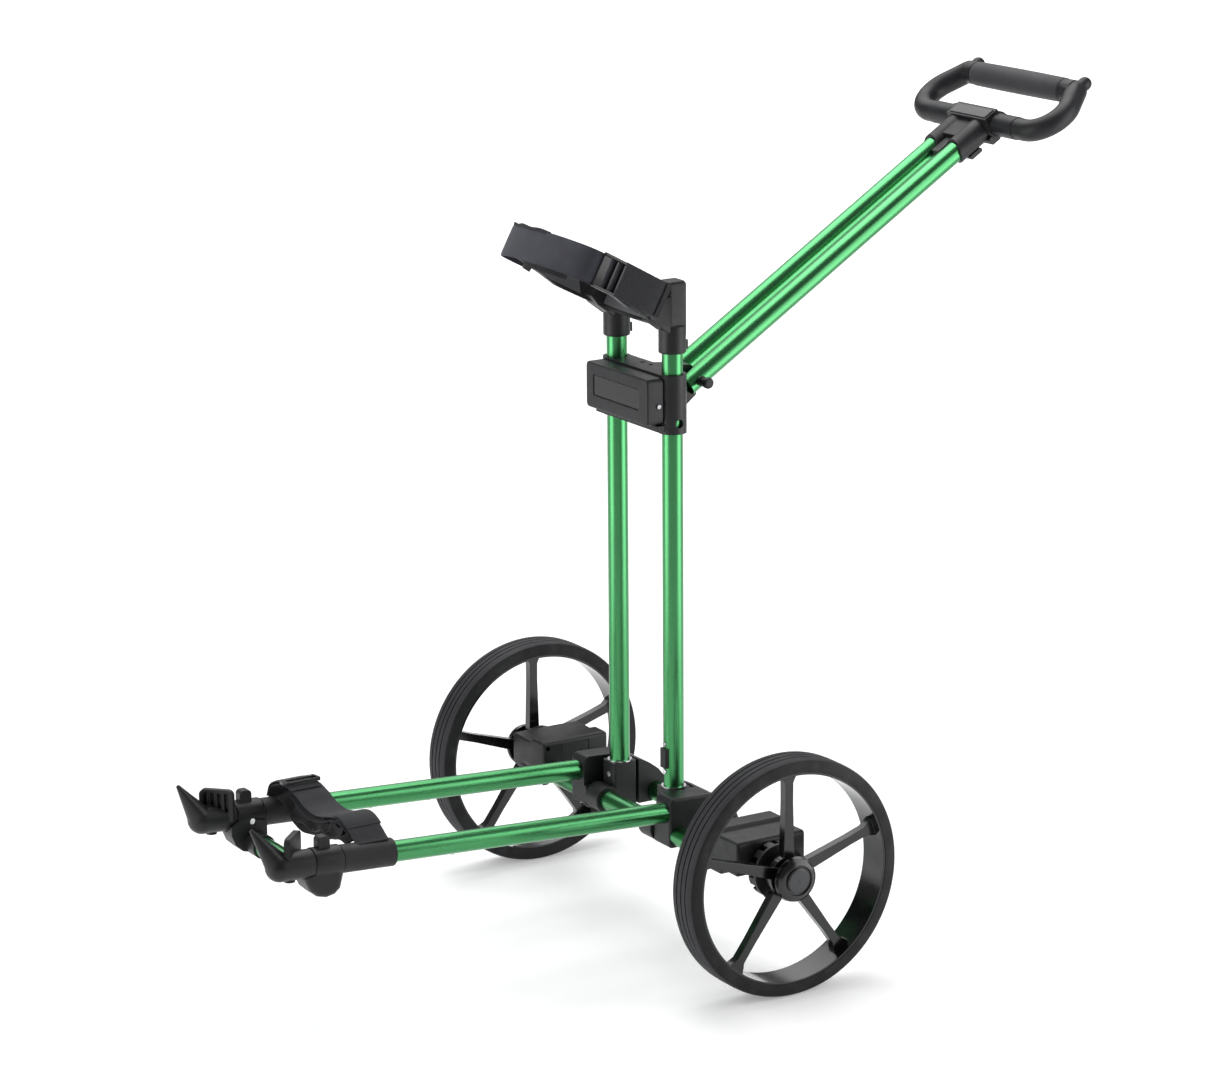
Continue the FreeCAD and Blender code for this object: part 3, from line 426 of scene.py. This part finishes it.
def plate(name, centre, along, across, outline, thick, material, body):
    """A flat moulded piece: an outline in (along, across) metres, with thickness and a soft rim."""
    a, w = Vector(along).normalized(), Vector(across).normalized()
    out = a.cross(w).normalized()
    count = len(outline)
    mid_a = sum(p[0] for p in outline) / count
    mid_w = sum(p[1] for p in outline) / count
    verts, faces = [], []
    for lift, inset in PLATE_LAYERS:
        for p in outline:
            flat = a * (mid_a + (p[0] - mid_a) * inset) + w * (mid_w + (p[1] - mid_w) * inset)
            verts.append(Vector(centre) + flat + out * (lift * thick))
    top = (len(PLATE_LAYERS) - 1) * count
    for lower in range(0, top, count):
        for k in range(count):
            n = (k + 1) % count
            upper = lower + count
            faces.append((lower + k, lower + n, upper + n, upper + k))
    faces.append(tuple(range(count))[::-1])
    faces.append(tuple(range(top, top + count)))
    obj = new_mesh(name, verts, faces, material)
    smooth(obj)
    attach(obj, body)
    return obj


def buckle(name, centre, along, across, long, wide, body, bars=2):
    """A ladder-lock for tape: two side rails joined by flat crossbars, the first one broad."""
    a, w = Vector(along).normalized(), Vector(across).normalized()
    out = a.cross(w).normalized()
    rail, broad, thin = 2.6 * MM, 0.34 * long, 2.6 * MM
    rail_thick, broad_thick, thin_thick = 4.2 * MM, 3.4 * MM, 3.0 * MM
    taper, swell, lap, proud = 1.5 * MM, 0.8 * MM, 0.2 * MM, 0.4 * MM
    half = long / 2
    for side, tag in ((1, "upper"), (-1, "lower")):
        near, far = side * wide / 2, side * (wide / 2 - rail)
        bulge = near + side * swell
        ends = [(-half, near), (-half + taper, bulge), (half - taper, bulge), (half, near),
                (half, far), (-half, far)]
        plate(name + "_rail_" + tag, centre, a, w, ends[::side], rail_thick, "buckle", body)
    inner = wide / 2 - rail + lap
    room = long - broad
    grid = [(-half + broad / 2, broad, broad_thick)]
    for k in range(bars):
        grid.append((-half + broad + room * (k + 1) / bars - thin / 2, thin, thin_thick))
    for number, (at, deep, thick) in enumerate(grid):
        start, end = at - deep / 2, at + deep / 2
        quad = [(start, -inner), (end, -inner), (end, inner), (start, inner)]
        plate(name + "_bar_" + str(number), Vector(centre) + out * proud, a, w, quad, thick,
              "buckle", body)


# ---- foam grip ----
def crowned_sleeve(name, centre, half, radius, material, body):
    """A foam tube with rounded ends and a slightly fuller middle, turned about X."""
    around, end_steps, length_steps = 48, 6, 12
    end_drop, shoulder, fullness = 5 * MM, 3.5 * MM, 0.5 * MM
    edge = radius - fullness
    profile = [(-half, radius - end_drop)]
    for k in range(end_steps + 1):
        turn = math.pi / 2 * k / end_steps
        profile.append((-half + shoulder * (1 - math.cos(turn)),
                        edge - shoulder * (1 - math.sin(turn))))
    for k in range(1, length_steps):
        share = k / length_steps * 2 - 1
        profile.append((share * (half - shoulder), edge + fullness * (1 - share * share)))
    profile += [(-x, r) for x, r in profile[end_steps + 1::-1]]
    verts, faces = [], []
    for x, r in profile:
        for k in range(around):
            turn = 2 * math.pi * k / around
            verts.append(Vector((x, r * math.cos(turn), r * math.sin(turn))) + centre)
    for i in range(len(profile) - 1):
        for k in range(around):
            a, b = i * around + k, i * around + (k + 1) % around
            faces.append((a, a + around, b + around, b))
    faces.append(tuple(range(around)))
    faces.append(tuple(range((len(profile) - 1) * around, len(profile) * around))[::-1])
    obj = new_mesh(name, verts, faces, material)
    smooth(obj)
    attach(obj, body)
    return obj


grip_half = (grip_high.x - grip_low.x) / 2
grip_radius = (grip_high.y - grip_low.y) / 2
grip = crowned_sleeve("foam_sleeve", grip_at, grip_half, grip_radius, "foam", "grip")
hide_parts("foam_grip")


# ---- upper strap: belt round the cradle mouth ----
reach_dir = Vector((0, -math.cos(cradle_tilt), math.sin(cradle_tilt)))
down_dir = Vector((0, -math.sin(cradle_tilt), -math.cos(cradle_tilt)))


def on_cradle(x, reach, down=0.0):
    return cradle_at + Vector((x * MM, 0, 0)) + reach_dir * reach * MM + down_dir * down * MM


belt_route = [(84, 34), (89.5, 54), (92.2, 82), (94.6, 120), (95.0, 140), (91, 154), (76, 163.4),
              (45, 171.5), (0, 175), (-45, 171.5), (-76, 163.4), (-90.5, 153), (-94, 138), (-91.5, 112)]
belt = tape("upper_belt", [on_cradle(x, y, 6.5) for x, y in belt_route], 40 * MM, TAPE_THICK, down_dir,
            "webbing", "columns")
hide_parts("upper_strap")
pad_route = [(86.5, 36), (92, 56), (94.8, 84), (96.6, 109)]
overlap = tape("upper_belt_overlap", [on_cradle(x, y, 4.5) for x, y in pad_route], 41 * MM, TAPE_THICK,
               down_dir, "hook_tape", "columns")
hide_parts("strap_wrap")
hem_route = [(86.8, 33.5), (88.2, 37.5), (89.6, 42)]
tape("upper_belt_hem", [on_cradle(x, y, 4.5) for x, y in hem_route], 42 * MM, 3.6 * MM, down_dir,
     "edging", "columns")
tail_route = [(97.6, 132), (97.4, 141), (93.4, 155), (78, 165.5), (46, 174), (20, 177)]
tape("upper_belt_tail", [on_cradle(x, y, 6) for x, y in tail_route], 37 * MM, 2 * MM, down_dir,
     "webbing", "columns")
slide_along = on_cradle(96.0, 104) - on_cradle(96.4, 132)
buckle("upper_slide", on_cradle(98.6, 126, 6), slide_along, down_dir, 34 * MM, 41 * MM, "columns")
edge_route = [(-92, 151), (-76, 164.2), (-60, 168.5), (-45, 172.3), (-22, 174.8), (0, 175.8),
              (22, 174.6)]
ripple = [-12.8, -14.4, -12.9, -14.2, -12.6, -13.8, -12.8]
tape("upper_belt_edge", [on_cradle(x, y, down) for (x, y), down in zip(edge_route, ripple)],
     3.4 * MM, 2.6 * MM, down_dir, "edging", "columns")
inner_route = [(-80, 120), (-70, 136), (-48, 149), (-16, 155), (16, 155), (44, 147)]
tape("upper_belt_inner", [on_cradle(x, y, 19) for x, y in inner_route], 22 * MM, 2 * MM,
     (0, 0.2, 1), "edging", "columns", crown=-2 * MM)


# ---- lower strap: tape between the base tubes ----
def on_base(x, up, forward=0.0):
    return strap_at + Vector((x * MM, -forward * MM, up * MM))


ACROSS_BASE = (0, 1, 0)
over_route = [(106, 16.2), (101.5, 18.2), (96, 21.4), (88, 26.4), (78, 31.5), (64, 34), (46, 33),
              (14, 25), (-3, 23.5), (-25, 26), (-45, 33), (-72, 38), (-100, 33), (-115, 24),
              (-120.5, 4)]
over = tape("lower_belt", [on_base(x, z) for x, z in over_route], 42 * MM, TAPE_THICK, ACROSS_BASE,
            "dark_webbing", "chassis")
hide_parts("lower_strap_top")
under_route = [(80, 13), (62, 8), (37, 3), (12, -3), (-9, -6), (-30, -10), (-51, -12), (-74, -6),
               (-82, 4)]
under = tape("lower_belt_under", [on_base(x, z) for x, z in under_route], 26 * MM, 2.2 * MM,
             ACROSS_BASE, "edging", "chassis")
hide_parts("lower_strap_under")
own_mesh(under)
fold_route = [(84, 19), (66, 20), (44, 14), (22, 17.5), (0, 10), (-24, 13), (-48, 11), (-74, 24),
              (-92, 26)]
fold = tape("lower_belt_fold", [on_base(x, z, 11) for x, z in fold_route], 30 * MM, 2.2 * MM,
            (0, 1, 0.5), "edging", "chassis", crown=2.5 * MM)
layer_route = [(84, 20), (66, 26), (46, 26.5), (26, 20), (8, 14), (-14, 12), (-40, 18), (-60, 26)]
tape("lower_belt_layer", [on_base(x, z, 2) for x, z in layer_route], 38 * MM, 2 * MM, (0, 1, -0.12),
     "hook_tape", "chassis")
crease_route = [(62, 18), (48, 14), (36, 20), (24, 11), (12, 15), (-2, 6), (-20, 3), (-42, 6),
                (-58, 16)]
crease = tape("lower_belt_crease", [on_base(x, z, 18) for x, z in crease_route], 15 * MM, 1.8 * MM,
              (0, 0.5, 1), "edging", "chassis", crown=2 * MM)
for slack in (fold, crease):
    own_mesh(slack)
flap_route = [(84, 29.5), (76, 33.6), (66, 36.4), (56, 37), (47, 35.4)]
tape("lower_belt_flap", [on_base(x, z, -1) for x, z in flap_route], 43.5 * MM, TAPE_THICK, ACROSS_BASE,
     "dark_webbing", "chassis")
tab_route = [(-54, 37.2), (-66, 41.6), (-84, 41.2), (-102, 36), (-113, 28), (-120, 14)]
tape("lower_belt_tab", [on_base(x, z, 3) for x, z in tab_route], 40 * MM, TAPE_THICK, ACROSS_BASE,
     "hook_tape", "chassis")
buckle("lower_slide", on_base(-70, 43.6, 3), (1, 0, 0.08), ACROSS_BASE, 20 * MM, 44 * MM,
       "chassis", bars=1)


# ---- floor, light and camera ----
FLOOR_HALF = 60.0
FLOOR_COLOR = (0.86, 0.86, 0.865, 1)
FLOOR_GLOW = 0.25
WORLD_STRENGTH = 0.18
LAMP_SPREAD = math.radians(150)
# Each light's width, depth and power.
SIDE_BOX = (1.1, 1.58, 12)
TOP_BOX = (1.8, 1.8, 30)
BACK_PANEL = (10.0, 10.0, 560)
BOX_ASIDE = 1.3
# The focal length is in the unit of the frame's width, so only their ratio counts.
FRAME_WIDTH = 1214
FOCAL_LENGTH = 3989.15
SENSOR = 36.0
CAMERA_AT = Vector((3.9639, axle.y - 2.4739, 1.7014))
camera_right = Vector((0.52121, 0.85340, -0.00755))
camera_up = Vector((-0.21002, 0.13683, 0.96807))
camera_back = Vector((0.82718, -0.50298, 0.25055))


def floor():
    half = FLOOR_HALF
    mesh = bpy.data.meshes.new("floor")
    mesh.from_pydata([(-half, -half, 0), (half, -half, 0), (half, half, 0), (-half, half, 0)], [],
                     [(0, 1, 2, 3)])
    obj = bpy.data.objects.new("floor", mesh)
    bpy.context.scene.collection.objects.link(obj)
    t = Tree("studio_floor")
    t.set(Base_Color=FLOOR_COLOR, Roughness=0.9, Specular_IOR_Level=0.1)
    t.set(Emission_Color=(1, 1, 1, 1), Emission_Strength=FLOOR_GLOW)
    mesh.materials.append(t.mat)


def soft_light(name, place, target, size):
    """An area light, unseen by the camera; size is its width, its depth and its power."""
    lamp = bpy.data.lights.new(name, "AREA")
    lamp.shape = "RECTANGLE"
    lamp.size, lamp.size_y, lamp.energy = size
    lamp.spread = LAMP_SPREAD
    obj = bpy.data.objects.new(name, lamp)
    bpy.context.scene.collection.objects.link(obj)
    obj.location = place
    obj.rotation_euler = (target - place).to_track_quat("-Z", "Y").to_euler()
    obj.visible_camera = False


floor()
world = bpy.data.worlds.new("studio")
bpy.context.scene.world = world
world.use_nodes = True
background = world.node_tree.nodes["Background"]
background.inputs["Color"].default_value = (1, 1, 1, 1)
background.inputs["Strength"].default_value = WORLD_STRENGTH
look_at = Vector((0, axle.y, 0.5))
left_place = look_at - camera_right * BOX_ASIDE + camera_back * 0.55 + Vector((0, 0, 0.18))
right_place = look_at + camera_right * BOX_ASIDE + camera_back * 0.45 + Vector((0, 0, 0.2))
top_place = look_at + Vector((-0.4, 0.3, 2.4))
back_place = Vector((-6.6, axle.y + 4.0, 4.0))
soft_light("left_box", left_place, left_place + camera_right, SIDE_BOX)
soft_light("right_box", right_place, right_place - camera_right, SIDE_BOX)
soft_light("top_box", top_place, look_at, TOP_BOX)
soft_light("back_panel", back_place, back_place - Vector((0, 0, 1)), BACK_PANEL)

lens = bpy.data.cameras.new("camera")
camera = bpy.data.objects.new("camera", lens)
bpy.context.scene.collection.objects.link(camera)
lens.sensor_width = SENSOR
lens.lens = SENSOR * FOCAL_LENGTH / FRAME_WIDTH
lens.clip_end = 200.0
turned = Matrix((camera_right, camera_up, camera_back)).transposed().to_4x4()
camera.matrix_world = Matrix.Translation(CAMERA_AT) @ turned
bpy.context.scene.camera = camera
bpy.context.scene.view_settings.view_transform = "Standard"
